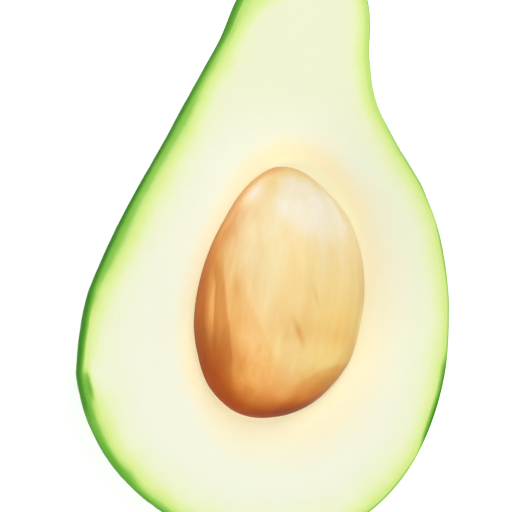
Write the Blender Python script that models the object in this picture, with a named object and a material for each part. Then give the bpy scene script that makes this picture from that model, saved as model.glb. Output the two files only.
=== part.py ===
"""Half an avocado with its pit, lying on its back with the cut face up.

Metres, +Z up. The long axis runs along Y with the neck towards +Y. Each body is first
shaped whole about the fruit's own axis and then sliced level at the cut. The half
stands on the small flat spot under its belly, and the origin is the middle of the
bottom of the box round it all.
"""

import math

import bmesh
import bpy
from mathutils import Matrix, Vector

MM = 0.001

# The whole fruit from the blossom end to the stem end, in mm: place along the axis,
# half width, drift of the middle to the right, half depth.
STATIONS = (
    (-57.0, 0.0, 0.8, 0.0),
    (-50.0, 21.2, 0.6, 20.0),
    (-40.0, 30.2, 0.0, 28.4),
    (-30.0, 34.5, -0.4, 32.4),
    (-20.0, 36.0, -0.1, 34.2),
    (-10.0, 35.3, 0.3, 34.8),
    (0.0, 33.0, 1.2, 34.1),
    (10.0, 29.4, 1.7, 31.6),
    (20.0, 24.3, 0.9, 26.8),
    (30.0, 18.7, -0.6, 20.6),
    (40.0, 15.0, 0.0, 16.0),
    (48.0, 13.4, 0.8, 13.6),
    (54.0, 11.2, 1.0, 11.2),
    (60.0, 0.0, 1.2, 0.0),
)
FRUIT_SIDES = 56
FRUIT_RINGS = 44

CUT_HEIGHT = 5.0 * MM  # of the cut face above the fruit's axis
FLAT_DEPTH = 0.5 * MM  # taken off the belly, so that the half lies still

SKIN_THICKNESS = 1.0 * MM
PIECE_GAP = 0.3 * MM  # between skin and flesh, and between flesh and pit
SCAR_RADIUS = 2.4 * MM  # of the dimple that the stem left at the tip of the neck
SCAR_DEPTH = 0.5 * MM

# The pit is an egg, blunt towards the blossom end, that bows and leans a little.
PIT_CENTRE = Vector((1.5 * MM, -8.1 * MM, CUT_HEIGHT - 1.0 * MM))
PIT_HALF_LENGTH = 24.3 * MM
PIT_RADIUS = 16.2 * MM
PIT_TAPER = 0.10  # share of the radius lost at the tip and gained at the base
PIT_BOW = 1.3 * MM  # how far both its ends bend to the left
PIT_LEAN = math.radians(2.6)  # of its tip to the right
PIT_SIDES = 40
PIT_RINGS = 26

SNAP = 0.05 * MM  # points this near a slice are moved onto it, to leave no slivers
SHARP_ANGLE = math.radians(40)

SKIN_COLOUR, SKIN_ROUGHNESS = (0.07, 0.22, 0.03), 0.42
FLESH_COLOUR, FLESH_ROUGHNESS = (0.86, 0.88, 0.60), 0.40
PIT_COLOUR, PIT_ROUGHNESS = (0.62, 0.34, 0.12), 0.36


def clear_scene():
    for obj in list(bpy.data.objects):
        bpy.data.objects.remove(obj, do_unlink=True)


def curve_at(points, place):
    """The value at a place on a smooth curve through (place, value) points."""
    span = max(i for i in range(len(points) - 1) if i == 0 or points[i][0] <= place)

    def slope(i):
        before, after = points[max(i - 1, 0)], points[min(i + 1, len(points) - 1)]
        return (after[1] - before[1]) / (after[0] - before[0])

    (start, value), (end, next_value) = points[span], points[span + 1]
    length = end - start
    t = (place - start) / length
    bend_in = slope(span) * length * t * (1 - t) ** 2
    bend_out = slope(span + 1) * length * t * t * (1 - t)
    return value + (next_value - value) * t * t * (3 - 2 * t) + bend_in - bend_out


def half_size(column, place):
    """A half width or half depth; its square is the smooth one, so the ends are round."""
    squares = [(row[0] * MM, (row[column] * MM) ** 2) for row in STATIONS]
    return math.sqrt(max(curve_at(squares, place), 0.0))


def drift(place):
    return curve_at([(row[0] * MM, row[2] * MM) for row in STATIONS], place)


def unit_ball(sides, rings):
    """A closed ball of radius 1 whose poles lie on the Y axis, ready to be reshaped."""
    bm = bmesh.new()
    bmesh.ops.create_uvsphere(bm, u_segments=sides, v_segments=rings, radius=1.0)
    bmesh.ops.rotate(bm, verts=bm.verts, matrix=Matrix.Rotation(math.radians(-90), 3, "X"))
    return bm


def move_surface(bm, distance):
    """Move every point outwards along its own normal, or inwards if negative."""
    bm.normal_update()
    for vert in bm.verts:
        vert.co += vert.normal * distance


def fruit(inset=0.0):
    """The whole fruit as a closed surface, drawn in from its outside by the inset."""
    bm = unit_ball(FRUIT_SIDES, FRUIT_RINGS)
    low, high = STATIONS[0][0] * MM, STATIONS[-1][0] * MM
    for vert in bm.verts:
        place = (low + high) / 2 + vert.co.y * (high - low) / 2
        reach = max(math.hypot(vert.co.x, vert.co.z), 1e-6)
        vert.co = (
            drift(place) + half_size(1, place) * vert.co.x / reach,
            place,
            half_size(3, place) * vert.co.z / reach,
        )
    move_surface(bm, -inset)
    return bm


def press_scar(bm):
    """Sink the tip of the neck, where the stem came off."""
    tip = max(bm.verts, key=lambda vert: vert.co.y).co.copy()
    for vert in bm.verts:
        sideways = math.hypot(vert.co.x - tip.x, vert.co.z - tip.z)
        if vert.co.y > 0 and sideways < SCAR_RADIUS:
            vert.co.y -= SCAR_DEPTH


def egg(grow=0.0):
    """The pit as a closed surface in its place, or the hollow round it if grown."""
    bm = unit_ball(PIT_SIDES, PIT_RINGS)
    for vert in bm.verts:
        radius = PIT_RADIUS * (1 - PIT_TAPER * vert.co.y)
        vert.co = (
            vert.co.x * radius - PIT_BOW * vert.co.y**2,
            vert.co.y * PIT_HALF_LENGTH,
            vert.co.z * radius,
        )
    move_surface(bm, grow)
    turn = Matrix.Rotation(-PIT_LEAN, 4, "Z")
    bmesh.ops.transform(bm, matrix=Matrix.Translation(PIT_CENTRE) @ turn, verts=bm.verts)
    return bm


def join(outside, hollow):
    """Put a hollow, turned inside out, in the same mesh as the outside round it."""
    bmesh.ops.reverse_faces(hollow, faces=hollow.faces)
    spare = bpy.data.meshes.new("hollow")
    hollow.to_mesh(spare)
    hollow.free()
    outside.from_mesh(spare)
    bpy.data.meshes.remove(spare)
    return outside


def slice_level(bm, height, side):
    """Cut off all above (side 1) or below (side -1) a height and close the cut flat."""
    for vert in bm.verts:
        if abs(vert.co.z - height) < SNAP:
            vert.co.z = height
    cut = bmesh.ops.bisect_plane(
        bm,
        geom=bm.verts[:] + bm.edges[:] + bm.faces[:],
        dist=1e-7,
        plane_co=(0, 0, height),
        plane_no=(0, 0, side),
        clear_outer=True,
    )
    rims = [item for item in cut["geom_cut"] if isinstance(item, bmesh.types.BMEdge)]
    bmesh.ops.triangle_fill(bm, edges=rims, use_beauty=True, normal=(0, 0, side))


def finish(name, bm, colour, roughness):
    """Turn a closed mesh into a named object with its own material."""
    bmesh.ops.remove_doubles(bm, verts=bm.verts, dist=1e-5)
    mesh = bpy.data.meshes.new(name)
    bm.to_mesh(mesh)
    bm.free()
    mesh.shade_smooth()
    mesh.set_sharp_from_angle(angle=SHARP_ANGLE)

    material = bpy.data.materials.new(name)
    material.use_nodes = True
    surface = material.node_tree.nodes["Principled BSDF"]
    surface.inputs["Base Color"].default_value = (*colour, 1.0)
    surface.inputs["Roughness"].default_value = roughness
    surface.inputs["Metallic"].default_value = 0.0
    mesh.materials.append(material)

    obj = bpy.data.objects.new(name, mesh)
    bpy.context.collection.objects.link(obj)
    return obj


def make_skin():
    shell = fruit()
    belly = min(vert.co.z for vert in shell.verts)
    press_scar(shell)
    slice_level(shell, belly + FLAT_DEPTH, -1)
    shell = join(shell, fruit(inset=SKIN_THICKNESS))
    slice_level(shell, CUT_HEIGHT, 1)
    return finish("skin", shell, SKIN_COLOUR, SKIN_ROUGHNESS)


def make_flesh():
    body = join(fruit(inset=SKIN_THICKNESS + PIECE_GAP), egg(grow=PIECE_GAP))
    slice_level(body, CUT_HEIGHT, 1)
    return finish("flesh", body, FLESH_COLOUR, FLESH_ROUGHNESS)


def make_pit():
    return finish("pit", egg(), PIT_COLOUR, PIT_ROUGHNESS)


def stand_on_origin(pieces):
    """Shift every piece alike, so that the box round them stands on the origin."""
    corners = [vert.co for obj in pieces for vert in obj.data.vertices]
    low = Vector(min(corner[axis] for corner in corners) for axis in range(3))
    high = Vector(max(corner[axis] for corner in corners) for axis in range(3))
    middle = Vector(((low.x + high.x) / 2, (low.y + high.y) / 2, low.z))
    for obj in pieces:
        obj.data.transform(Matrix.Translation(-middle))


clear_scene()
stand_on_origin([make_skin(), make_flesh(), make_pit()])
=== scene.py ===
"""Looks of the avocado half: peel, cut flesh and pit, modelled finely round the CAD frame.

Sizes are in millimetres in the fruit's own frame, as in the CAD: the fruit's axis is
Y, its neck is at +Y, and the cut face is level at CUT_HEIGHT above the axis.
"""

import math

import bpy
import numpy as np
from mathutils import Matrix, Vector, noise


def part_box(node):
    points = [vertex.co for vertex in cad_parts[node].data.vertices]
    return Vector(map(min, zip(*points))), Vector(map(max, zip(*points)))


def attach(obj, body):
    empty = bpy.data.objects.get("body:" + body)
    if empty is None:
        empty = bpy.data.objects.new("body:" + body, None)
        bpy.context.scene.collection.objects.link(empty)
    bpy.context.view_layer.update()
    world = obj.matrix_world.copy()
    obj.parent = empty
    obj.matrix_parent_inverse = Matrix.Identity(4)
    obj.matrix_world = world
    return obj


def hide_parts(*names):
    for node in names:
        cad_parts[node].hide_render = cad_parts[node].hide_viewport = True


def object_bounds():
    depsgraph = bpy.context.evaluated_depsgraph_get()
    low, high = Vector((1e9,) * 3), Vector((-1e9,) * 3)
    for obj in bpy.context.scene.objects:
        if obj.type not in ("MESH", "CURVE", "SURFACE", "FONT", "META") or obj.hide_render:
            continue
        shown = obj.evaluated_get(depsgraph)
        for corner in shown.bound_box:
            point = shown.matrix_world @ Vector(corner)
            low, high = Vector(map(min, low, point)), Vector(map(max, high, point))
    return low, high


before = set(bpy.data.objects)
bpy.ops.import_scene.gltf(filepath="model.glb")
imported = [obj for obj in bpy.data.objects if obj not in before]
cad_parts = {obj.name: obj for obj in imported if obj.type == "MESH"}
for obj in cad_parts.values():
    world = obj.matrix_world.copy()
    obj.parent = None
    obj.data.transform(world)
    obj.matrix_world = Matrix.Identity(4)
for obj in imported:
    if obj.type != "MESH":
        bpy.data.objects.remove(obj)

CAD_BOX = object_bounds()
MM = 0.001

# The fruit's shape: place along the axis, half width, drift to the right, half depth.
STATIONS = np.array((
    (-57.0, 0.0, 0.8, 0.0),
    (-50.0, 21.2, 0.6, 20.0),
    (-40.0, 30.2, 0.0, 28.4),
    (-30.0, 34.5, -0.4, 32.4),
    (-20.0, 36.0, -0.1, 34.2),
    (-10.0, 35.3, 0.3, 34.8),
    (0.0, 33.0, 1.2, 34.1),
    (10.0, 29.4, 1.7, 31.6),
    (20.0, 24.3, 0.9, 26.8),
    (30.0, 18.7, -0.6, 20.6),
    (40.0, 15.0, 0.0, 16.0),
    (48.0, 13.4, 0.8, 13.6),
    (54.0, 11.2, 1.0, 11.2),
    (60.0, 0.0, 1.2, 0.0),
))
PLACES = STATIONS[:, 0]
HALF_WIDTH, DRIFT, HALF_DEPTH = 1, 2, 3  # the other columns
CUT_HEIGHT = 5.0
SKIN_THICKNESS = 1.0
JOIN_GAP = 0.01  # between peel and flesh, too fine to be seen

PIT_CENTRE = np.array((1.5, -8.1, CUT_HEIGHT - 1.0))
PIT_HALF_LENGTH = 24.3
PIT_RADIUS = 16.2
PIT_TAPER = 0.10
PIT_BOW = 1.3
PIT_LEAN = math.radians(2.6)

# Fineness of the meshes.
SIDES = 420
PEEL_ROWS = 110
INNER_STEP = 4  # the unseen surfaces between peel and flesh have only every fourth row
FACE_ROWS = 78
HOLLOW_ROWS = 26
PIT_SIDES = 360
PIT_ROWS = 230
SHARP_ANGLE = math.radians(60)

# The middle from which the fruit's surface is found in every direction.
HEART = np.array((PIT_CENTRE[0], PIT_CENTRE[1], CUT_HEIGHT))
FARTHEST = 90.0  # more than any point of the surface is away from it
HALVINGS = 36  # of that distance, until the surface is found
RIM_SAMPLES = 4001
WIDTH_SAMPLES = 2001
DIPS_EVEN = 0.55  # how evenly the rows of the outside dip; they are closer at the rim
UPRIGHT_ROWS = 3  # of an inset surface, which turn upright towards the cut
POLE_DROP = 0.1  # of the point that closes a surface below its last row

STUDIO_LIGHT = 1.78  # how much brighter than its own colour a level surface looks here


# Colours

# A colour's levels from 0 to 255 stand for light by the usual curve of screens.
DARK_END = 0.04045
DARK_SLOPE = 12.92
CURVE_OFFSET = 0.055
CURVE_POWER = 2.4


def paint(red, green, blue):
    """A colour as it is to look in the studio light, as the surface's own linear colour."""
    linear = []
    for level in (red, green, blue):
        share = level / 255
        if share <= DARK_END:
            value = share / DARK_SLOPE
        else:
            value = ((share + CURVE_OFFSET) / (1 + CURVE_OFFSET)) ** CURVE_POWER
        linear.append(value / STUDIO_LIGHT)
    return (*linear, 1.0)


# The fruit's surface

def smooth_step(low, high, at):
    """0 up to the low place, 1 from the high one on, and a smooth rise between them."""
    t = np.clip((at - low) / (high - low), 0, 1)
    return t * t * (3 - 2 * t)


def window(at, rise, fall):
    """1 between a rise and a fall, each given as two places, and 0 outside them."""
    return smooth_step(*rise, at) * (1 - smooth_step(*fall, at))


def curve(column, at, square=False):
    """A column of STATIONS on a smooth curve through its values, at many places."""
    values = STATIONS[:, column] ** 2 if square else STATIONS[:, column]
    slopes = np.empty(len(values))
    slopes[1:-1] = (values[2:] - values[:-2]) / (PLACES[2:] - PLACES[:-2])
    slopes[0] = (values[1] - values[0]) / (PLACES[1] - PLACES[0])
    slopes[-1] = (values[-1] - values[-2]) / (PLACES[-1] - PLACES[-2])
    at = np.clip(at, PLACES[0], PLACES[-1])
    span = np.clip(np.searchsorted(PLACES, at, side="right") - 1, 0, len(PLACES) - 2)
    length = PLACES[span + 1] - PLACES[span]
    t = (at - PLACES[span]) / length
    rise = values[span + 1] - values[span]
    bend_in = slopes[span] * length * t * (1 - t) ** 2
    bend_out = slopes[span + 1] * length * t * t * (1 - t)
    return values[span] + rise * t * t * (3 - 2 * t) + bend_in - bend_out


def is_inside(points):
    """Whether each point lies within the whole fruit."""
    x, y, z = points[..., 0], points[..., 1], points[..., 2]
    width = np.maximum(curve(HALF_WIDTH, y, square=True), 1e-9)
    depth = np.maximum(curve(HALF_DEPTH, y, square=True), 1e-9)
    within = (x - curve(DRIFT, y)) ** 2 / width + z ** 2 / depth < 1
    return within & (y > PLACES[0]) & (y < PLACES[-1])


def surface_towards(directions):
    """Points of the fruit's surface seen from its heart along these unit directions."""
    near = np.zeros(directions.shape[:-1])
    far = np.full(directions.shape[:-1], FARTHEST)
    for _ in range(HALVINGS):
        middle = (near + far) / 2
        inside = is_inside(HEART + directions * middle[..., None])
        near = np.where(inside, middle, near)
        far = np.where(inside, far, middle)
    return HEART + directions * near[..., None]


def headings(turns, dips):
    """Unit directions for each turn about Z and each dip below the level, row by row."""
    turn, dip = np.meshgrid(turns, dips)
    level = np.cos(dip)
    return np.stack((level * np.cos(turn), level * np.sin(turn), -np.sin(dip)), axis=-1)


def even_turns(count):
    """Turns about the heart that space the points of the rim evenly."""
    fine = np.linspace(-math.pi / 2, 3 * math.pi / 2, RIM_SAMPLES)
    rim = surface_towards(headings(fine, np.zeros(1)))[0]
    steps = np.linalg.norm(np.diff(rim, axis=0), axis=1)
    run = np.concatenate(((0.0,), np.cumsum(steps)))
    return np.interp(np.arange(count) / count * run[-1], run, fine)


def row_normals(rows):
    """Outward normals of a grid of closed rows that run from the rim down to a pole."""
    across = np.roll(rows, -1, axis=1) - np.roll(rows, 1, axis=1)
    down = np.gradient(rows, axis=0)
    normals = np.cross(down, across)
    return normals / np.maximum(np.linalg.norm(normals, axis=-1, keepdims=True), 1e-12)


# Where the cut's outline stands out from the even shape or back from it: degrees about
# the heart, and mm. It bends a little at each stop, as a fruit does.
OUTLINE = (
    (4, 0.35), (20, 0.15), (38, 0.10), (44, 0.30), (50, 0.0), (56, -0.25), (64, 0.0),
    (72, -0.15), (76, 0.12), (79, 0.40), (84, 0.35), (104, 0.30), (112, 0.35), (120, 0.0),
    (148, 0.0), (176, -0.35), (182, -0.25), (185, -0.10), (196, -0.25), (204, -0.05),
    (208, 0.30), (213, 0.10), (228, 0.15), (236, 0.0), (246, -0.40), (262, -0.20),
    (300, 0.0), (314, 0.06), (325, 0.18), (340, 0.15), (352, 0.30),
)
OUTLINE_FADES = (-25.0, -5.0)  # heights between which the outline turns even again


def corner_curve(stops, degrees):
    """A value for each angle on straight lines through closed (degrees, value) stops."""
    angles = [stops[-1][0] - 360] + [stop[0] for stop in stops] + [stops[0][0] + 360]
    values = [stops[-1][1]] + [stop[1] for stop in stops] + [stops[0][1]]
    return np.interp(np.mod(degrees, 360), angles, values)


TURNS = even_turns(SIDES)


def outer_rows():
    """Rows of the fruit's outside from the cut's rim down to just short of the belly."""
    share = np.linspace(0, 1, PEEL_ROWS + 1)[:-1]
    dips = math.radians(90) * (DIPS_EVEN * share + (1 - DIPS_EVEN) * share**2)
    rows = surface_towards(headings(TURNS, dips))
    stand = corner_curve(OUTLINE, np.degrees(TURNS)) * smooth_step(*OUTLINE_FADES, rows[..., 2])
    rows[..., :2] += row_normals(rows)[..., :2] * stand[..., None]
    rows[..., 0] = np.clip(rows[..., 0], *WIDTH_LIMITS)
    rows[..., 1] = np.clip(rows[..., 1], *LENGTH_LIMITS)
    return rows


def inset_rows(rows, depth):
    """The rows moved inwards by a depth, the rim staying level in the cut."""
    normals = row_normals(rows)
    upright = np.clip(1 - np.arange(len(rows)) / UPRIGHT_ROWS, 0, 1)[:, None]
    normals[..., 2] *= 1 - upright
    normals /= np.linalg.norm(normals, axis=-1, keepdims=True)
    return rows - normals * depth


# Mesh making

def closed_mesh(name, first_pole, rows, last_pole, fields):
    """A closed smooth object from closed rows of points between two end points.

    fields holds named values for every point, in the order first pole, rows, last pole.
    """
    count, sides = rows.shape[:2]
    points = np.concatenate((first_pole[None], rows.reshape(-1, 3), last_pole[None]))
    around = np.arange(sides)
    after = (around + 1) % sides
    last = len(points) - 1
    faces = [(0, 1 + b, 1 + a) for a, b in zip(around, after)]
    for row in range(count - 1):
        start, end = 1 + row * sides, 1 + (row + 1) * sides
        faces += [(start + a, start + b, end + b, end + a) for a, b in zip(around, after)]
    start = 1 + (count - 1) * sides
    faces += [(start + a, start + b, last) for a, b in zip(around, after)]

    corners = points[np.array([face[:3] for face in faces])]
    volume = np.einsum("ij,ij->i", corners[:, 0], np.cross(corners[:, 1], corners[:, 2])).sum()
    if volume < 0:
        faces = [face[::-1] for face in faces]

    mesh = bpy.data.meshes.new(name)
    mesh.from_pydata((points + TO_ROW) * MM, [], faces)
    mesh.update()
    mesh.shade_smooth()
    mesh.set_sharp_from_angle(angle=SHARP_ANGLE)
    for field, values in fields.items():
        layer = mesh.attributes.new(field, "FLOAT", "POINT")
        layer.data.foreach_set("value", np.asarray(values, dtype=np.float32))
    piece = bpy.data.objects.new(name, mesh)
    bpy.context.collection.objects.link(piece)
    return piece


def row_shift():
    """How far the fruit's own frame lies from the row's: the CAD stands on its origin."""
    low, high = (Vector(corner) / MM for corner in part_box("skin"))
    fine = np.linspace(PLACES[0], PLACES[-1], WIDTH_SAMPLES)
    half_width = np.sqrt(np.maximum(curve(HALF_WIDTH, fine, square=True), 0))
    left = (curve(DRIFT, fine) - half_width).min()
    return np.array((low.x - left, low.y - PLACES[0], high.z - CUT_HEIGHT))


TO_ROW = row_shift()
FLOOR = -TO_ROW[2]  # its height in the fruit's own frame
# The sides and ends of the row's box in that frame, which no point passes.
WIDTH_LIMITS = [corner.x / MM - TO_ROW[0] for corner in CAD_BOX]
LENGTH_LIMITS = [corner.y / MM - TO_ROW[1] for corner in CAD_BOX]
OUTSIDE = outer_rows()
RIM = OUTSIDE[0]


SEED_STEPS = (17.3, 5.1, 9.7)  # how far apart in the noise the seeds lie


def wander(points, size, seed):
    """Smooth random values between about -1 and 1 at each point, for lumps of a size."""
    shift = Vector([seed * step for step in SEED_STEPS])
    flat = points.reshape(-1, 3) / size
    values = [noise.noise(Vector(point) + shift) for point in flat]
    return np.array(values).reshape(points.shape[:-1])


def round_curve(stops, turns):
    """A value for each turn on a smooth closed curve through (degrees, value) stops."""
    angles = np.array([stop[0] for stop in stops], dtype=float)
    values = np.array([stop[1] for stop in stops], dtype=float)
    degrees = np.degrees(turns) % 360
    angles = np.concatenate((angles, (angles[0] + 360,)))
    values = np.concatenate((values, (values[0],)))
    degrees = np.where(degrees < angles[0], degrees + 360, degrees)
    span = np.clip(np.searchsorted(angles, degrees, side="right") - 1, 0, len(stops) - 1)
    t = smooth_step(0, 1, (degrees - angles[span]) / (angles[span + 1] - angles[span]))
    return values[span] + (values[span + 1] - values[span]) * t


# Peel

SCAR_CENTRE = np.array((1.2, 60.0, 0.0))
SCAR_RADIUS = 2.4
SCAR_DEPTH = 0.5
SCAR_SLOPE = (0.7, 1.15)  # shares of the radius between which its floor rises
NECK_START = 40.0  # the scar sinks only the surface beyond this place along the axis
CORK_EDGE = (2.1, 2.7)  # distances from the scar's centre over which its cork ends
BASE_SPOT = np.array((0.8, -57.0, 0.0))  # the small brown spot where the flower was
SPOT_EDGE = (0.7, 1.6)
LUMPS = ((0.10, 9.0, 1), (0.035, 1.6, 2))  # depth, size and seed of each set
LUMPS_FULL = 3.0  # depth below the cut by which the peel has its full lumps
CUT_SHARES = (0.1, 0.3, 0.5, 0.7, 0.9)  # of the peel's thickness, for each row of its cut
RIM_DROP = 0.12  # by which the rim's outer edge is worn down

# The green of the peel's wall: at its top edge, and how much deeper it turns below.
WALL_START = (
    (0, 0.5), (100, 0.6), (150, 0.1), (190, 0.0), (222, 0.3), (234, 0.1), (241, 0.9), (290, 0.8),
)
WALL_DARKENS = (
    (0, 1.5), (190, 1.5), (214, 1.7), (221, 0.6), (234, 0.6), (241, 1.4), (256, 1.4),
)
WALL_REACH = 2.5  # depth below the rim over which most of that happens
WALL_DEEP = -1.2  # the green that it is all round lower down
WALL_EVENS = (4.0, 10.0)  # it turns to that from here to here below the rim
WALL_ENDS = (3.5, 11.0)  # and from here to here it turns into the outside's own green


def press_scar(rows, normals):
    """Sink the round scar of the stem into the tip of the neck."""
    distance = np.linalg.norm(rows[..., (0, 2)] - SCAR_CENTRE[[0, 2]], axis=-1)
    near = rows[..., 1] > NECK_START
    sink = SCAR_DEPTH * (1 - smooth_step(*SCAR_SLOPE, distance / SCAR_RADIUS)) * near
    return rows - normals * sink[..., None]


def pole_below(rows):
    """The point that closes a surface under the heart, just below its last row."""
    return np.array((HEART[0], HEART[1], rows[-1, :, 2].min() - POLE_DROP))


def wall_green(run):
    """The green of the peel's wall by its distance below the rim, turn by turn."""
    darkens = round_curve(WALL_DARKENS, TURNS) * (1 - np.exp(-run / WALL_REACH))
    wall = round_curve(WALL_START, TURNS) - darkens
    return wall + (WALL_DEEP - wall) * smooth_step(*WALL_EVENS, run)


def make_peel():
    """The peel: its outside, the narrow strip of it that is cut, and its inside."""
    normals = row_normals(OUTSIDE)
    below = smooth_step(0, LUMPS_FULL, CUT_HEIGHT - OUTSIDE[..., 2])
    lumps = sum(depth * (1 + wander(OUTSIDE, size, seed)) for depth, size, seed in LUMPS)
    inner = inset_rows(OUTSIDE, SKIN_THICKNESS)[::INNER_STEP]
    outer = press_scar(OUTSIDE, normals) - normals * (lumps * below)[..., None]
    outer[..., 2] = np.maximum(outer[..., 2], FLOOR)

    edge = inner[0]
    cut = outer[0] + (edge - outer[0]) * np.array(CUT_SHARES)[:, None, None]
    outer[0, :, 2] -= RIM_DROP
    rows_all = np.concatenate((outer[::-1], cut, inner))
    bottom = np.array((HEART[0], HEART[1], FLOOR))

    steps = np.linalg.norm(np.diff(outer, axis=0), axis=-1)
    run = np.concatenate((np.zeros((1, SIDES)), np.cumsum(steps, axis=0)))
    wall = wall_green(run)
    edge_green = greenness(distance_to(RIM, edge), level_turns(edge))
    rim_field = np.concatenate((
        wall[::-1],
        greenness(distance_to(RIM, cut), level_turns(cut)),
        np.repeat(edge_green[None], len(inner), axis=0),
    ))
    down_field = np.concatenate((run[::-1], np.zeros((len(cut) + len(inner), SIDES))))
    fields = {
        "rim": np.concatenate(((wall.min(),), rim_field.ravel(), (SKIN_THICKNESS,))),
        "down": np.concatenate(((run.max(),), down_field.ravel(), (0.0,))),
    }
    return closed_mesh("peel", bottom, rows_all, pole_below(inner), fields)


# Flesh

# Soft corners of the pit's outline: degrees about its middle, and shares of its radius.
PIT_CORNERS = (
    (8, 1.022), (25, 1.040), (43, 1.035), (62, 0.992), (91, 1.014), (105, 1.025), (119, 1.012),
    (135, 0.998), (148, 0.980), (167, 0.992), (184, 1.002), (200, 1.011), (216, 1.002),
    (233, 1.016), (246, 1.013), (256, 1.016), (266, 1.011), (281, 0.998), (304, 1.004),
    (319, 1.006), (334, 1.022), (351, 1.004),
)


def egg_points(units, grow=0.0):
    """The pit's surface for unit vectors about its middle, moved outwards if grown."""
    stand = corner_curve(PIT_CORNERS, np.degrees(np.arctan2(units[..., 1], units[..., 0]))) - 1
    flatness = units[..., 0] ** 2 + units[..., 1] ** 2
    units = units * (1 + stand * flatness**2)[..., None]
    radius = PIT_RADIUS * (1 - PIT_TAPER * units[..., 1])
    x = units[..., 0] * (radius + grow) - PIT_BOW * units[..., 1] ** 2
    y = units[..., 1] * (PIT_HALF_LENGTH + grow)
    z = units[..., 2] * (radius + grow)
    c, s = math.cos(PIT_LEAN), math.sin(PIT_LEAN)
    return PIT_CENTRE + np.stack((x * c + y * s, y * c - x * s, z), axis=-1)


# Width of the hollow's sloping lip round the pit, by degrees about the pit's middle.
LIP_WIDTH = ((0, 0.35), (35, 0.6), (55, 1.6), (75, 2.7), (92, 2.2), (106, 0.6), (130, 0.35))
LIP_DEPTH = 0.05  # of the lip at the pit, as a share of its width
LIP_CURVE = 1.5  # the power by which it steepens towards the pit
LIP_PALES = (0.4, 1.2)  # widths of the lip between which it starts to be painted paler
LIP_UNPAINTED = 2.0  # added to the value of a lip that is too narrow for that

FACE_EVEN = 0.35  # how evenly the rows of the cut face lie; they are closer at its edges
SAG_DEPTH = 0.05  # of the slight unevenness of the cut face
SAG_SIZE = 7.0
SAG_SEED = 5
SAG_STARTS = (1.0, 5.0)  # distances from the rim over which it begins

# Values for the flesh's fields where the cut isn't: deep inside, outside and in the hollow.
DEEP_IN = 20.0
FAR_OFF = 9.0
IN_HOLLOW = -0.5

# The cut's green is painted by a distance from the rim that runs ahead of the real one
# where the green is thin: by how many mm at the rim, and by how many further in.
AHEAD_AT_RIM = (
    (8, 1.0), (24, 0.4), (33, 1.6), (46, 0.7), (58, 1.0), (70, 1.8), (96, 1.8), (104, 1.6),
    (116, 0.7), (128, 0.2), (140, 0.4), (152, 0.2), (164, 0.1), (176, 0.1), (188, -0.1),
    (196, 0.2), (204, 0.8), (207, 1.0), (212, 0.5), (217, 0.0), (224, 0.6), (232, 0.8),
    (236, 0.2), (240, 1.2), (256, 0.9), (290, 0.8), (306, 0.7), (317, 1.0), (324, -1.2),
    (330, -1.3), (336, -1.1), (342, -1.0), (348, 0.6), (354, 0.9),
)
AHEAD_WITHIN = (
    (8, 2.0), (20, 1.7), (32, 2.0), (46, 1.5), (60, 1.4), (68, 1.3), (104, 1.1), (116, 0.9),
    (126, 0.2), (130, 0.4), (152, 0.4), (164, 0.1), (176, 0.1), (188, 0.9), (195, 1.8),
    (200, 2.2), (207, 2.0), (213, 1.4), (217, 0.9), (221, 1.1), (232, 1.2), (236, 0.8),
    (240, 1.3), (256, 1.3), (290, 1.5), (308, 1.6), (317, 2.0), (324, 1.5), (330, 1.2),
    (336, 1.5), (342, 1.1), (348, 1.7), (356, 1.9),
)
# How far in from the rim the first turns into the second.
AHEAD_BLEND = ((0, 0.65), (318, 0.65), (325, 1.45), (342, 1.35), (350, 0.65))
AHEAD_REACH = (3.5, 9.0)  # from here to here inwards it falls back to the real distance

# The dark green knob on the rim's left: degrees about the heart, and mm in from the rim.
KNOB_TURN = 211.7
KNOB_SPREAD = 3.7
KNOB_GREENS = 2.2
KNOB_PLACE = 0.9
KNOB_REACH = 0.62
KNOB_PALES = 1.2  # the flesh further in than the knob is paler
KNOB_PALE_SPREAD = 6.0
KNOB_PALE_REACH = ((1.3, 2.0), (3.0, 8.0))

# The lime is wider round the tip of the neck, most at the left.
TIP_SLANT = -0.6  # how much further from the tip it starts for each mm to the left
TIP_STARTS = (48.5, 53.0)  # places along the axis
TIP_WIDENS = 0.5
TIP_GREEN = 1.5  # the green nearer the rim than this stays as it is

# How far the pit's warm tint spreads, by degrees about the heart.
WARM_REACH = (
    (0, 7.5), (40, 7.0), (70, 5.5), (100, 4.5), (135, 2.6), (180, 2.6), (215, 3.2),
    (240, 4.0), (262, 7.5), (300, 9.5), (330, 8.5),
)
# How much of the tint's full warmth is missing at the pit itself.
WARM_START = ((0, 0.22), (40, 0.20), (75, 0.0), (120, 0.05), (180, 0.0), (330, 0.12))
# How strong the pale yellow halo beyond the lip is.
HALO_STRENGTH = (
    (0, 0.0), (40, 0.4), (60, 1.0), (95, 1.0), (112, 0.5), (135, 0.0), (205, 0.1), (228, 0.5),
    (250, 0.3), (285, 0.0),
)
HALO_ENDS = (1.2, 4.5)  # distances beyond the lip over which the halo ends

# How much paler the flesh is painted beside the pit, which keeps some light off it.
SHADE_LIFT = (
    (0, 0.37), (30, 0.37), (60, 0.31), (90, 0.27), (110, 0.14), (150, 0.18), (190, 0.16),
    (230, 0.22), (290, 0.32),
)
SHADE_REACH = 3.4
# And how much paler it is painted besides, against the pit's shade right beside its low end.
CONTACT_LIFT = ((190, 0.0), (220, 0.13), (245, 0.22), (262, 0.36), (285, 0.26), (305, 0.0))
CONTACT_REACH = 1.1


def level_turns(points):
    """Turns of points about the heart, seen from above."""
    return np.arctan2(points[..., 1] - HEART[1], points[..., 0] - HEART[0])


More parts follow.
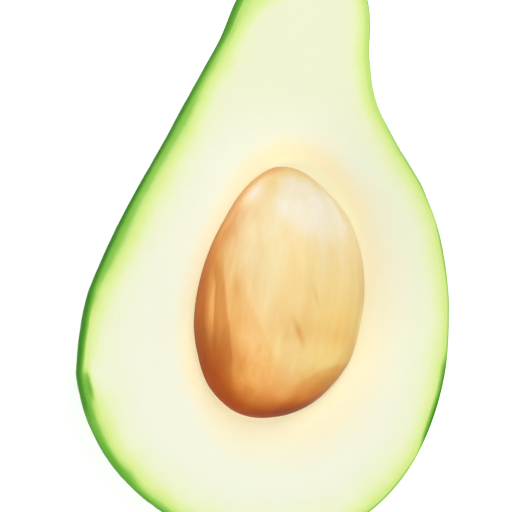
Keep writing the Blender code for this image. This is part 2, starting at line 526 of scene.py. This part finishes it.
def greenness(from_rim, turns):
    """Distance from the rim as the green of the cut shows it."""
    at_rim, within = round_curve(AHEAD_AT_RIM, turns), round_curve(AHEAD_WITHIN, turns)
    blend = smooth_step(0.0, round_curve(AHEAD_BLEND, turns), from_rim)
    ahead = at_rim + (within - at_rim) * blend
    ahead *= 1 - smooth_step(*AHEAD_REACH, from_rim)
    turned = (np.degrees(turns) - KNOB_TURN + 180) % 360 - 180
    across, inwards = turned / KNOB_SPREAD, (from_rim - KNOB_PLACE) / KNOB_REACH
    knob = KNOB_GREENS * np.exp(-(across**4) - inwards**2)
    pale = KNOB_PALES * np.exp(-((turned / KNOB_PALE_SPREAD) ** 2))
    pale *= window(from_rim, *KNOB_PALE_REACH)
    return from_rim + ahead - knob + pale


def lime_tip(value, points):
    """The greenness with the rim's lime spread wider round the tip of the neck."""
    up = points[..., 1] + TIP_SLANT * points[..., 0]
    widens = TIP_WIDENS * smooth_step(*TIP_STARTS, up)
    return value - widens * np.maximum(value - TIP_GREEN, 0)


def distance_to(outline, points):
    """The level distance from each point to a closed outline."""
    flat = points.reshape(-1, 3)[:, :2]
    nearest = np.full(len(flat), np.inf)
    start, end = outline[:, :2], np.roll(outline, -1, axis=0)[:, :2]
    for a, b in zip(start, end):
        along = b - a
        t = np.clip(((flat - a) @ along) / (along @ along), 0, 1)
        gap = flat - a - t[:, None] * along
        nearest = np.minimum(nearest, np.einsum("ij,ij->i", gap, gap))
    return np.sqrt(nearest).reshape(points.shape[:-1])


def hollow_rows(rim):
    """Rows of the hollow's wall from the cut down, a point for each one of the rim."""
    steer = np.arctan2(
        (rim[:, 1] - HEART[1]) / PIT_HALF_LENGTH, (rim[:, 0] - HEART[0]) / PIT_RADIUS
    )
    lean = math.asin((CUT_HEIGHT - PIT_CENTRE[2]) / PIT_RADIUS)
    dips = np.linspace(-lean, math.radians(90), HOLLOW_ROWS + 1)[:-1]
    return egg_points(headings(steer, dips))


def face_rows(rim, mouth):
    """Rows of the level cut face from the rim to the hollow's mouth."""
    share = np.linspace(0, 1, FACE_ROWS + 2)[1:-1]
    share = FACE_EVEN * share + (1 - FACE_EVEN) * smooth_step(0, 1, share)
    face = rim + (mouth - rim) * share[:, None, None]
    face[..., 2] = CUT_HEIGHT
    return face


def make_flesh():
    """The flesh: its outside under the peel, the cut face, and the hollow for the pit."""
    outside = inset_rows(OUTSIDE, SKIN_THICKNESS + JOIN_GAP)[::INNER_STEP]
    rim = outside[0]
    turns = level_turns(rim)
    hollow = hollow_rows(rim)
    mouth = hollow[0].copy()
    mouth[:, 2] = CUT_HEIGHT
    face = face_rows(rim, mouth)

    from_rim = distance_to(RIM, face)
    from_pit = distance_to(mouth, face)
    lip = round_curve(LIP_WIDTH, turns)
    slope = np.clip(1 - from_pit / lip, 0, 1)
    face[..., 2] -= LIP_DEPTH * lip * slope**LIP_CURVE
    sag = SAG_DEPTH * (1 + wander(face, SAG_SIZE, SAG_SEED))
    face[..., 2] -= smooth_step(*SAG_STARTS, from_rim) * sag
    hollow[..., 2] = np.minimum(hollow[..., 2], CUT_HEIGHT - LIP_DEPTH * lip)

    beyond = np.maximum(from_pit - lip, 0.0)
    rim_value = lime_tip(greenness(from_rim, level_turns(face)), face)
    warm_start = round_curve(WARM_START, turns)
    warm_value = warm_start + (1 - warm_start) * beyond / round_curve(WARM_REACH, turns)
    halo_value = round_curve(HALO_STRENGTH, turns) * (1 - smooth_step(*HALO_ENDS, beyond))
    lip_value = from_pit / lip + LIP_UNPAINTED * (1 - smooth_step(*LIP_PALES, lip))
    shaded = 1 + round_curve(SHADE_LIFT, turns) * np.exp(-from_pit / SHADE_REACH)
    shaded += round_curve(CONTACT_LIFT, turns) * np.exp(-from_pit / CONTACT_REACH)

    def whole(face_values, bottom_value, hollow_value):
        return np.concatenate((
            (bottom_value,),
            np.tile(face_values[0], len(outside)),
            face_values.ravel(),
            np.full(HOLLOW_ROWS * SIDES + 1, hollow_value),
        ))

    fields = {
        "rim": whole(rim_value, 1.0, DEEP_IN),
        "warm": whole(warm_value, FAR_OFF, 0.0),
        "halo": whole(halo_value, 0.0, 0.0),
        "lip": whole(lip_value, FAR_OFF, IN_HOLLOW),
        "lift": whole(shaded, 1.0, 1.0),
    }
    rows_all = np.concatenate((outside[::-1], face, hollow))
    pole = egg_points(np.array((0.0, 0.0, -1.0)))
    return closed_mesh("cut_flesh", pole_below(outside), rows_all, pole, fields)


# Pit

RIDGES = ((3, 0.22, 0.022), (4, 0.09, 0.008))  # seed, size and height of each set
RIDGE_STRETCH = 0.16  # of the ridges' pattern along the pit

# How light the coat is, from 0, dark brown, to 1, cream, partly by its own tone and partly by
# painted light and shade. Places on the pit are shares of its radius: x to the right, y
# towards the tip and z up. Each pair is the start and end of a smooth rise, or of a fall
# where it comes second.
TONE_MIDDLE = 0.36
# Painted light from the upper right makes the coat lighter to the right, towards the tip and
# upwards, over its own tone.
TONE_AND_LIGHT_RIGHT, TONE_AND_LIGHT_TIPWARDS, TONE_AND_LIGHT_UP = 0.19, 0.25, 0.40  # gained along x, y and z
TONE_AND_LIGHT_TIP_HALF = 0.17  # gained along y besides, in the tip's half
# Painted shade: the coat is darker towards its base and at its lower left, away from the light.
BASE_PAINTED_SHADE, BASE_REACH = 0.10, (0.78, 0.98)
LOW_LEFT_PAINTED_SHADE, LOW_LEFT_ACROSS, LOW_LEFT_ALONG = 0.09, (0.2, 0.8), (0.2, 0.7)

# Soft streaks and marks of the seed coat, among them a painted highlight and a flank
# painted paler against shade: the meridian in degrees, counted from the right over the top,
# and how it slants; the mark's spread; where it ends towards the base and the tip; and how
# much lighter or darker it is.
MARKS = (
    (50, 0, 55, -0.45, 0.97, -0.11),
    (155, 0, 12, 0.70, 0.98, -0.07),
    (97, 0, 12, 0.90, 1.10, -0.06),
    (155, 0, 14, -0.70, -0.36, 0.05),
    (76, 0, 22, 0.86, 1.10, -0.15),
    (64, 0, 8, 0.84, 1.10, -0.10),
    (140, 0, 35, 0.84, 1.10, -0.19),
    (57, 0, 9, 0.80, 0.97, -0.10),
    (104, 0, 22, 0.55, 0.92, -0.03),
    (148, 0, 14, -1.10, -0.30, -0.05),
    # a painted highlight at the upper left, towards the tip
    (148, 0, 10, 0.55, 0.93, 0.28),
    (144, 50, 2, 0.22, 0.50, -0.04),
    (132, 24, 2, -0.17, 0.08, -0.04),
    (122, 0, 14, -0.78, -0.42, -0.06),
    (143, 0, 14, -0.98, -0.70, -0.03),
    (18, 0, 26, -0.95, -0.55, 0.05),
    (131, 0, 6, 0.05, 0.55, 0.06),
    (155, 0, 6, 0.05, 0.40, 0.05),
    (121, 30, 2, 0.12, 0.52, -0.04),
    (108, 22, 2, 0.12, 0.44, -0.035),
    (76, 40, 1.3, -0.19, 0.10, -0.11),
    (84, 57, 2.2, -0.50, -0.16, -0.13),
    (97, 14, 3, -0.66, -0.18, 0.04),
    (80, 20, 2.5, -0.76, -0.50, 0.04),
    # painted paler on the right flank, where less light reaches it
    (10, 0, 13, -0.42, 0.08, 0.36),
    (68, 0, 38, -0.98, -0.36, 0.08),
    (80, 0, 40, -1.10, -0.62, 0.09),
)
MARK_FADE = 0.18  # the length over which a mark fades in and out

# The left flank is darker up to a crisp line, given as the line's y and its meridian.
FLANK_LINE = ((-0.88, 132), (-0.60, 130), (-0.40, 133), (-0.10, 140), (0.25, 152))
FLANK_DARK = 0.10
FLANK_SOFT = (-1.5, 1.5)
FLANK_ALONG = ((-0.95, -0.5), (-0.1, 0.4))

# A pale stripe lies beyond another line on the flank, and a darker one before it.
STRIPE_LINE = ((-0.75, 150), (-0.46, 148), (-0.25, 148), (-0.05, 151), (0.25, 161))
STRIPE_PALE = 0.13
STRIPE_ACROSS = ((-0.7, 0.9), (3, 13))
STRIPE_ALONG = ((-0.56, -0.36), (-0.06, 0.16))
BEFORE_DARK = 0.01
BEFORE_SOFT = (-1.0, 1.0)
BEFORE_ALONG = ((-0.85, -0.65), (-0.05, 0.15))

# A darker wedge lies beside the flank; its right side runs from one meridian to another.
WEDGE_FROM, WEDGE_TURN, WEDGE_BEND = 95, 31, (-0.70, 0.05)
WEDGE_DARK = 0.045
WEDGE_ACROSS = ((-1.5, 2.5), (0, 25))
WEDGE_ALONG = ((-0.75, -0.45), (-0.1, 0.1))

# A painted highlight lies at the upper right, as a pale patch. Its low edge bends up to both
# sides.
HIGHLIGHT_PALE = 0.08
HIGHLIGHT_LOW, HIGHLIGHT_BEND = 0.38, 0.12
HIGHLIGHT_MIDDLE, HIGHLIGHT_HALF = 72, 36  # degrees
HIGHLIGHT_SOFT = (-0.04, 0.13)
HIGHLIGHT_TOP = (0.80, 0.92)
HIGHLIGHT_ACROSS = ((36, 46), (104, 128))

# A brown patch lies at the lower right, below a line given as its meridian and its y.
BROWN_LINE = ((11, -0.42), (39, -0.49), (54, -0.55), (63, -0.64), (75, -0.75))
BROWN_DARK = 0.10
BROWN_SOFT = (0.0, 0.06)
BROWN_LEFT = (50, 80)

# The coat's edge is dark at the lower right: degrees below the right, and heights.
EDGE_DARK = 0.24
EDGE_AROUND = ((36, 66), (85, 105))
EDGE_UP = (0.18, 0.42)


def line_at(line, at):
    """The value at each place on straight lines through (place, value) points."""
    places, values = zip(*line)
    return np.interp(at, places, values)


def marks_tone(y, meridian):
    """What the marks add to the coat's tone."""
    tone = np.zeros(np.shape(y))
    for middle, slant, spread, low, high, change in MARKS:
        fade = min(MARK_FADE, (high - low) / 2)
        across = (meridian - middle - slant * (y - (low + high) / 2)) / spread
        along = window(y, (low, low + fade), (high - fade, high))
        tone += change * np.exp(-(across**2)) * along
    return tone


def coat_tone(units):
    """How light the coat is at unit vectors about its middle: its own tone, with painted light
    from the upper right, painted shade at the lower left and base, and painted highlights.
    """
    x, y, z = units[..., 0], units[..., 1], units[..., 2]
    tone = TONE_MIDDLE + TONE_AND_LIGHT_RIGHT * x + TONE_AND_LIGHT_TIPWARDS * y + TONE_AND_LIGHT_UP * z
    tone += TONE_AND_LIGHT_TIP_HALF * np.maximum(y, 0)
    tone -= BASE_PAINTED_SHADE * smooth_step(*BASE_REACH, -y)
    tone -= LOW_LEFT_PAINTED_SHADE * smooth_step(*LOW_LEFT_ACROSS, -x) * smooth_step(*LOW_LEFT_ALONG, -y)
    meridian = np.degrees(np.arctan2(z, x))
    tone += marks_tone(y, meridian)

    past_flank = meridian - line_at(FLANK_LINE, y)
    past_stripe = meridian - line_at(STRIPE_LINE, y)
    past_wedge = meridian - WEDGE_FROM - WEDGE_TURN * smooth_step(*WEDGE_BEND, y)
    before = smooth_step(*BEFORE_SOFT, past_flank) * smooth_step(*BEFORE_SOFT, -past_stripe)
    tone -= FLANK_DARK * (smooth_step(*FLANK_SOFT, past_flank) - 0.5) * window(y, *FLANK_ALONG)
    tone += STRIPE_PALE * window(past_stripe, *STRIPE_ACROSS) * window(y, *STRIPE_ALONG)
    tone -= BEFORE_DARK * before * window(y, *BEFORE_ALONG)
    tone -= WEDGE_DARK * window(past_wedge, *WEDGE_ACROSS) * window(y, *WEDGE_ALONG)

    # the painted highlight at the upper right
    highlight_edge = HIGHLIGHT_LOW + HIGHLIGHT_BEND * ((meridian - HIGHLIGHT_MIDDLE) / HIGHLIGHT_HALF) ** 2
    patch = smooth_step(*HIGHLIGHT_SOFT, y - highlight_edge) * (1 - smooth_step(*HIGHLIGHT_TOP, y))
    tone += HIGHLIGHT_PALE * patch * window(meridian, *HIGHLIGHT_ACROSS)
    brown = smooth_step(*BROWN_SOFT, line_at(BROWN_LINE, meridian) - y)
    tone -= BROWN_DARK * brown * (1 - smooth_step(*BROWN_LEFT, meridian))

    around = -np.degrees(np.arctan2(y, x))
    tone -= EDGE_DARK * window(around, *EDGE_AROUND) * (1 - smooth_step(*EDGE_UP, z))
    return tone


# Sides of the coat that are painted paler, because little light reaches them: the side as
# x and y, between which shares of the radius it begins, and by how much.
LIFTS = (
    ((-0.9, -0.7), (0.3, 1.0), 0.31),
    ((1.0, 0.0), (0.3, 0.7), 0.07),
    ((0.0, 1.0), (0.1, 0.5), 0.025),
)

# Parts of the coat whose colour shifts, and the shares of red, green and blue it gains.
LEFT_ACROSS, LEFT_ALONG, LEFT_GAINS = (0.0, 0.55), ((-0.95, -0.5), (0.5, 0.9)), (-0.02, 0.11, 0.45)
RIGHT_ACROSS, RIGHT_ALONG, RIGHT_GAINS = (0.0, 0.6), (-0.3, 0.35), (0.10, 0.08, -0.12)
LOW_ACROSS, LOW_ALONG, LOW_GAINS = (-0.35, 0.3), (0.55, 0.85), (0.0, -0.28, -0.45)
SHOULDER_ACROSS, SHOULDER_ALONG, SHOULDER_GAINS = (0.3, 0.7), (0.1, 0.45), (0.09, 0.02, 0.0)
TOP_ALONG, TOP_GAINS = (0.1, 0.6), (0.0, 0.0, 0.05)

# Three stretches of the coat's low edge whose colour shifts: the degrees about the pit
# between which each rises and falls, and the shares of red, green and blue it gains.
EDGE_STRETCHES = (
    ((25, 45), (60, 80), (0.05, 0.05, 0.05)),  # a little paler at the upper right
    ((85, 105), (200, 220), (0.18, 0.03, -0.05)),  # more orange all along the left
    ((210, 240), (290, 320), (-0.04, -0.25, -0.45)),  # browner round the base
)
EDGE_HEIGHTS = (0.2, 0.6)


def coat_balance(units):
    """How much red, green and blue are lifted at unit vectors about the pit's middle."""
    x, y = units[..., 0], units[..., 1]
    parts = (
        (smooth_step(*LEFT_ACROSS, -x) * window(y, *LEFT_ALONG), LEFT_GAINS),
        (smooth_step(*RIGHT_ACROSS, x) * (1 - smooth_step(*RIGHT_ALONG, y)), RIGHT_GAINS),
        (smooth_step(*LOW_ACROSS, x) * smooth_step(*LOW_ALONG, -y), LOW_GAINS),
        (smooth_step(*SHOULDER_ACROSS, -x) * smooth_step(*SHOULDER_ALONG, y), SHOULDER_GAINS),
        (smooth_step(*TOP_ALONG, y), TOP_GAINS),
    )
    lift = 1.0
    for side, reach, gain in LIFTS:
        lift = lift + gain * smooth_step(*reach, side[0] * x + side[1] * y)
    degrees = np.degrees(np.arctan2(y * PIT_HALF_LENGTH, x * PIT_RADIUS)) % 360
    low = 1 - smooth_step(*EDGE_HEIGHTS, units[..., 2])
    balance = {}
    for index, channel in enumerate(("red", "green", "blue")):
        tint = low * sum(
            window(degrees, rise, fall) * gains[index] for rise, fall, gains in EDGE_STRETCHES
        )
        shift = sum(part * gains[index] for part, gains in parts)
        balance[channel] = lift * (1 + tint) * (1 + shift)
    return balance


def make_pit():
    """The pit in its ridged coat."""
    turn, along = np.meshgrid(
        np.arange(PIT_SIDES) / PIT_SIDES * 2 * math.pi,
        np.linspace(0, math.pi, PIT_ROWS + 2)[1:-1],
    )
    units = np.stack(
        (np.sin(along) * np.cos(turn), np.cos(along), np.sin(along) * np.sin(turn)), axis=-1
    )
    ridges = np.zeros(turn.shape)
    for seed, size, height in RIDGES:
        stretched = units * np.array((1.0, RIDGE_STRETCH, 1.0)) / size
        ridges += height * (1 + wander(stretched, 1.0, seed))
    coat = egg_points(units, -ridges * np.sin(along))
    ends = np.array(((0.0, 1.0, 0.0), (0.0, -1.0, 0.0)))
    tip, base = egg_points(ends)

    def whole(values, end_values):
        return np.concatenate((end_values[:1], values.ravel(), end_values[1:]))

    fields = {"tone": whole(coat_tone(units), coat_tone(ends))}
    end_balance = coat_balance(ends)
    for field, values in coat_balance(units).items():
        fields[field] = whole(values, end_balance[field])
    for field, axis in (("across", 0), ("along", 1), ("upward", 2)):
        fields[field] = whole(units[..., axis], ends[:, axis])
    return closed_mesh("pit_coat", tip, coat, base, fields)


# Materials

class Shader:
    """A material's node tree, with short ways to add its nodes."""

    def __init__(self, name):
        self.material = bpy.data.materials.new(name)
        self.material.use_nodes = True
        self.nodes = self.material.node_tree.nodes
        self.links = self.material.node_tree.links
        self.surface = self.nodes["Principled BSDF"]

    def put(self, socket, value):
        """Link a node's output to a socket, or set a plain value on it."""
        if isinstance(value, bpy.types.NodeSocket):
            self.links.new(value, socket)
        else:
            socket.default_value = value

    def add(self, kind, output=0, settings=None, **inputs):
        """A new node's output; an underscore in an input's name stands for a space."""
        node = self.nodes.new(kind)
        for key, value in (settings or {}).items():
            setattr(node, key, value)
        for key, value in inputs.items():
            self.put(node.inputs[key.replace("_", " ")], value)
        return node.outputs[output]

    def field(self, name):
        return self.add("ShaderNodeAttribute", "Fac", {"attribute_name": name})

    def math(self, operation, first, second=0.0):
        node = self.nodes.new("ShaderNodeMath")
        node.operation = operation
        self.put(node.inputs[0], first)
        self.put(node.inputs[1], second)
        return node.outputs[0]

    def place(self, stretch=(1.0, 1.0, 1.0)):
        """Object coordinates in millimetres, stretched along each axis."""
        coordinates = self.add("ShaderNodeTexCoord", "Object")
        node = self.nodes.new("ShaderNodeMapping")
        self.links.new(coordinates, node.inputs["Vector"])
        node.inputs["Scale"].default_value = [1 / (MM * step) for step in stretch]
        return node.outputs[0]

    def join(self, x, y, z):
        return self.add("ShaderNodeCombineXYZ", X=x, Y=y, Z=z)

    def distance(self, place, point):
        """How far a place in millimetres is from a point in the fruit's own frame."""
        measured = self.add("ShaderNodeVectorMath", "Value", {"operation": "DISTANCE"})
        self.put(measured.node.inputs[0], place)
        self.put(measured.node.inputs[1], point + TO_ROW)
        return measured

    def noise(self, vector, scale, detail=2.0, roughness=0.5):
        """Soft random values; the scale is how many of its waves there are in each mm."""
        return self.add(
            "ShaderNodeTexNoise", "Fac",
            Vector=vector, Scale=scale, Detail=detail, Roughness=roughness,
        )

    def span(self, value, low, high, start=0.0, end=1.0):
        """The value carried from low..high to start..end, and held there beyond."""
        node = self.nodes.new("ShaderNodeMapRange")
        node.interpolation_type = "SMOOTHSTEP"
        for socket, given in zip(node.inputs, (value, low, high, start, end)):
            self.put(socket, given)
        return node.outputs[0]

    def ramp(self, value, low, high, stops):
        """A colour from stops of (value, colour), for values between low and high."""
        node = self.nodes.new("ShaderNodeValToRGB")
        scaled = self.math("DIVIDE", self.math("SUBTRACT", value, low), high - low)
        self.put(node.inputs["Fac"], scaled)
        elements = node.color_ramp.elements
        while len(elements) < len(stops):
            elements.new(0.5)
        for element, (at, colour) in zip(elements, stops):
            element.position = (at - low) / (high - low)
            element.color = colour
        return node.outputs["Color"]

    def mix(self, share, first, second, blend="MIX"):
        """The first colour with a share of the second in it."""
        node = self.nodes.new("ShaderNodeMix")
        node.data_type = "RGBA"
        node.blend_type = blend
        self.put(node.inputs["Factor"], share)
        colours = [socket for socket in node.inputs if socket.type == "RGBA"]
        self.put(colours[0], first)
        self.put(colours[1], second)
        return [socket for socket in node.outputs if socket.type == "RGBA"][0]

    def bump(self, height, depth, strength):
        """A normal for relief of this depth in millimetres."""
        return self.add("ShaderNodeBump", Height=height, Distance=depth * MM, Strength=strength)

    def finish(self, piece, colour, roughness, normal=None, **others):
        """Set the surface's inputs and give the material to a piece."""
        self.put(self.surface.inputs["Base Color"], colour)
        self.put(self.surface.inputs["Roughness"], roughness)
        if normal is not None:
            self.put(self.surface.inputs["Normal"], normal)
        for key, value in others.items():
            self.put(self.surface.inputs[key.replace("_", " ")], value)
        piece.data.materials.append(self.material)


def cut_colour(s, rim):
    """The green and lime of the cut's edge by the distance that greenness() gives."""
    return s.ramp(rim, -1.6, 11.6, (
        (-1.6, paint(40, 122, 0)),
        (-1.0, paint(56, 134, 4)),
        (-0.4, paint(84, 159, 30)),
        (0.1, paint(112, 178, 58)),
        (0.6, paint(134, 193, 77)),
        (1.0, paint(146, 201, 84)),
        (1.35, paint(161, 210, 96)),
        (1.8, paint(193, 228, 121)),
        (2.4, paint(212, 237, 138)),
        (2.9, paint(220, 239, 147)),
        (3.6, paint(226, 241, 165)),
        (4.9, paint(234, 243, 191)),
        (6.3, paint(238, 243, 208)),
        (8.4, paint(240, 243, 218)),
        (11.5, paint(242, 244, 222)),
    ))


def peel_material(piece):
    """Deep green mottled outside, lime at the cut, with the scar and the base's spot."""
    s = Shader("peel")
    place = s.place()
    patches = s.noise(place, 0.32, 3.0, 0.6)
    outside = s.ramp(s.noise(place, 0.05, 3.0), 0.3, 0.7, (
        (0.3, paint(58, 112, 34)),
        (0.5, paint(78, 138, 44)),
        (0.7, paint(104, 160, 60)),
    ))
    outside = s.mix(s.span(patches, 0.4, 0.75, 0.0, 0.45), outside, paint(122, 172, 72))
    from_pore = s.add(
        "ShaderNodeTexVoronoi", "Distance", {"feature": "F1"},
        Vector=place, Scale=0.42, Randomness=1.0,
    )
    pore = s.span(from_pore, 0.10, 0.22, 0.55, 0.0)
    outside = s.mix(pore, outside, paint(176, 200, 116))

    uneven = s.math("SUBTRACT", s.noise(place, 0.25), 0.5)
    rim = s.math("ADD", s.field("rim"), s.math("MULTIPLY", uneven, 0.5))
    below = s.field("down")
    colour = s.mix(s.span(below, *WALL_ENDS), cut_colour(s, rim), outside)

    cork = s.ramp(s.noise(place, 1.3, 4.0, 0.7), 0.3, 0.7, (
        (0.3, paint(92, 70, 42)),
        (0.7, paint(158, 132, 88)),
    ))
    scar = s.span(s.distance(place, SCAR_CENTRE), *CORK_EDGE, 1.0, 0.0)
    colour = s.mix(scar, colour, cork)
    spot = s.span(s.distance(place, BASE_SPOT), *SPOT_EDGE, 0.85, 0.0)
    colour = s.mix(spot, colour, paint(96, 84, 44))

    dents = s.math("MULTIPLY", from_pore, -0.5)
    normal = s.bump(s.math("ADD", s.noise(place, 0.55, 3.0, 0.6), dents), 0.35, 0.5)
    dull_wall = s.span(below, 5.0, 14.0, 0.5, 0.0)
    roughness = s.math("ADD", s.span(patches, 0.3, 0.7, 0.38, 0.5), dull_wall)
    s.finish(piece, colour, roughness, normal, Specular_IOR_Level=0.07)


def flesh_material(piece):
    """Lime at the rim to cream inside, with the warm tint, the halo and the lip."""
    s = Shader("cut_flesh")
    place = s.place()
    soft = s.math("SUBTRACT", s.noise(place, 0.16, 3.0, 0.55), 0.5)
    fine = s.math("SUBTRACT", s.noise(place, 0.9, 2.0, 0.6), 0.5)
    rim_field = s.field("rim")
    strength = s.span(rim_field, 0.8, 5.0, 0.5, 2.2)
    rim = s.math("ADD", rim_field, s.math("MULTIPLY", soft, strength))
    rim = s.math("ADD", rim, s.math("MULTIPLY", fine, 0.3))
    colour = cut_colour(s, rim)
    up_neck = s.span(s.add("ShaderNodeSeparateXYZ", "Y", Vector=place), 14.0, 34.0)
    in_neck = s.math("MULTIPLY", up_neck, s.span(rim, 3.0, 7.0, 0.0, 0.85))
    colour = s.mix(in_neck, colour, paint(236, 239, 203))

    warm = s.math("ADD", s.field("warm"), s.math("MULTIPLY", soft, 0.25))
    warm_colour = s.ramp(warm, 0.0, 1.0, (
        (0.0, paint(249, 233, 186)),
        (0.12, paint(247, 236, 193)),
        (0.35, paint(247, 238, 201)),
        (0.8, paint(246, 240, 206)),
    ))
    colour = s.mix(s.span(warm, 0.45, 1.45, 1.0, 0.0), colour, warm_colour)
    colour = s.mix(s.field("halo"), colour, paint(252, 238, 192))
    lip = s.field("lip")
    colour = s.mix(s.span(lip, 0.8, 1.1, 1.0, 0.0), colour, paint(250, 243, 199))
    in_hollow = s.span(lip, -0.4, 0.0, 1.0, 0.0)
    colour = s.mix(in_hollow, colour, paint(224, 164, 92))
    # the flesh painted paler beside the pit, against the shade the pit casts there
    lift = s.field("lift")
    colour = s.mix(1.0, colour, s.join(lift, lift, lift), "MULTIPLY")

    specks = s.math("MULTIPLY", s.noise(place, 3.0), 0.3)
    normal = s.bump(s.math("ADD", s.noise(place, 0.6, 3.0, 0.6), specks), 0.10, 0.4)
    s.finish(
        piece, colour, s.span(soft, -0.2, 0.2, 0.38, 0.5), normal,
        Subsurface_Weight=0.12, Subsurface_Scale=1.0 * MM, Specular_IOR_Level=0.25,
    )


def pit_material(piece):
    """Tan coat with fine streaks along it, from dark brown to cream by its tone."""
    s = Shader("pit_coat")
    across, along, upward = s.field("across"), s.field("along"), s.field("upward")
    fibres = s.join(across, s.math("MULTIPLY", along, 0.2), upward)
    streak = s.math("SUBTRACT", s.noise(fibres, 4.5, 2.0, 0.5), 0.5)
    hair = s.math("SUBTRACT", s.noise(fibres, 16.0, 2.0, 0.5), 0.5)
    # the tone field holds painted light, shade and highlights besides the coat's own tone
    tone = s.math("ADD", s.field("tone"), s.math("MULTIPLY", streak, 0.22))
    tone = s.math("ADD", tone, s.math("MULTIPLY", hair, 0.06))
    colour = s.ramp(tone, 0.0, 1.0, (
        (0.0, paint(150, 66, 14)),
        (0.15, paint(167, 88, 27)),
        (0.28, paint(184, 110, 44)),
        (0.38, paint(201, 130, 57)),
        (0.48, paint(218, 157, 81)),
        (0.58, paint(232, 182, 109)),
        (0.68, paint(239, 203, 134)),
        (0.78, paint(245, 218, 154)),
        (0.88, paint(246, 229, 184)),
        (1.0, paint(248, 240, 217)),
    ))
    balance = s.join(s.field("red"), s.field("green"), s.field("blue"))
    colour = s.mix(1.0, colour, balance, "MULTIPLY")

    relief = s.math("ADD", streak, s.math("MULTIPLY", hair, 0.3))
    normal = s.bump(relief, 0.35, 0.4)
    s.finish(
        piece, colour, s.span(streak, -0.2, 0.2, 0.3, 0.4), normal, Specular_IOR_Level=0.06
    )


def floor_material(piece):
    """Plain pale studio floor."""
    s = Shader("studio_floor")
    tone = s.ramp(s.noise(s.place(), 0.01, 2.0), 0.3, 0.7, (
        (0.3, (0.93, 0.93, 0.93, 1.0)),
        (0.7, (0.95, 0.95, 0.95, 1.0)),
    ))
    s.finish(piece, tone, 0.9, None, Specular_IOR_Level=0.1)


# Studio

FLOOR_REACH = 1.5  # metres from its middle to each side
LIGHT_TARGET = (0.0, 0.0, 0.03)
SKY_STRENGTH = 1.1
# Place in metres, width in metres and power in watts.
KEY_LIGHT = ((0.20, 0.85, 1.25), 0.7, 12.0)
FILL_LIGHT = ((-0.75, -0.85, 0.70), 1.0, 12.0)

# The camera stands up and to the left of the cut face, a little towards the base.
LENS = 200.0
SENSOR = 36.0
VIEW_WIDTH = 100.0  # of the picture at the fruit's axis, in mm
TILT_LEFT = math.radians(11.0)
TILT_BASE = math.radians(6.5)
ROLL = math.radians(6.0)  # the neck leans this far to the right in the picture
AIM = np.array((-3.2, -0.8, 0.0))  # the fruit's point in the middle of the picture


def make_floor():
    mesh = bpy.data.meshes.new("floor")
    sides = ((-1, -1), (1, -1), (1, 1), (-1, 1))
    corners = [(x * FLOOR_REACH, y * FLOOR_REACH, 0.0) for x, y in sides]
    mesh.from_pydata(corners, [], [(0, 1, 2, 3)])
    floor = bpy.data.objects.new("floor", mesh)
    bpy.context.collection.objects.link(floor)
    floor_material(floor)


def look_from(obj, place, target, roll=0.0):
    """Put an object at a place, turned to look at a target, with world Y up in its view."""
    ahead = (Vector(target) - Vector(place)).normalized()
    right = ahead.cross(Vector((0, 1, 0))).normalized()
    up = right.cross(ahead)
    turn = Matrix((right, up, -ahead)).transposed().to_4x4()
    obj.matrix_world = Matrix.Translation(place) @ turn @ Matrix.Rotation(roll, 4, "Z")


def add_light(name, place, width, power):
    data = bpy.data.lights.new(name, "AREA")
    data.shape = "DISK"
    data.size = width
    data.energy = power
    light = bpy.data.objects.new(name, data)
    bpy.context.collection.objects.link(light)
    look_from(light, place, LIGHT_TARGET)
    return light


def light_studio():
    """A white sky, a key light beyond the neck, and a fill light from the lower left."""
    world = bpy.data.worlds.new("studio")
    world.use_nodes = True
    background = world.node_tree.nodes["Background"]
    background.inputs["Color"].default_value = (1.0, 1.0, 1.0, 1.0)
    background.inputs["Strength"].default_value = SKY_STRENGTH
    bpy.context.scene.world = world
    add_light("key", *KEY_LIGHT)
    fill = add_light("fill", *FILL_LIGHT)
    fill.visible_glossy = False  # so that it leaves no second gleam on the pit


def make_camera():
    """The camera at the photo's angle, which the scene then looks through."""
    data = bpy.data.cameras.new("camera")
    data.lens = LENS
    data.sensor_width = SENSOR
    camera = bpy.data.objects.new("camera", data)
    bpy.context.collection.objects.link(camera)
    distance = VIEW_WIDTH * LENS / SENSOR
    towards = Vector((-math.tan(TILT_LEFT), -math.tan(TILT_BASE), 1.0)).normalized()
    aim = Vector((AIM + TO_ROW) * MM)
    look_from(camera, aim + towards * distance * MM, aim, roll=ROLL)
    bpy.context.scene.camera = camera


def dress(piece, node, material):
    """Tie a piece to the body, hide the CAD node that it stands for, and give it its look."""
    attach(piece, "root")
    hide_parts(node)
    material(piece)


dress(make_peel(), "skin", peel_material)
dress(make_flesh(), "flesh", flesh_material)
dress(make_pit(), "pit", pit_material)
make_floor()
light_studio()
make_camera()
bpy.context.scene.view_settings.view_transform = "Standard"
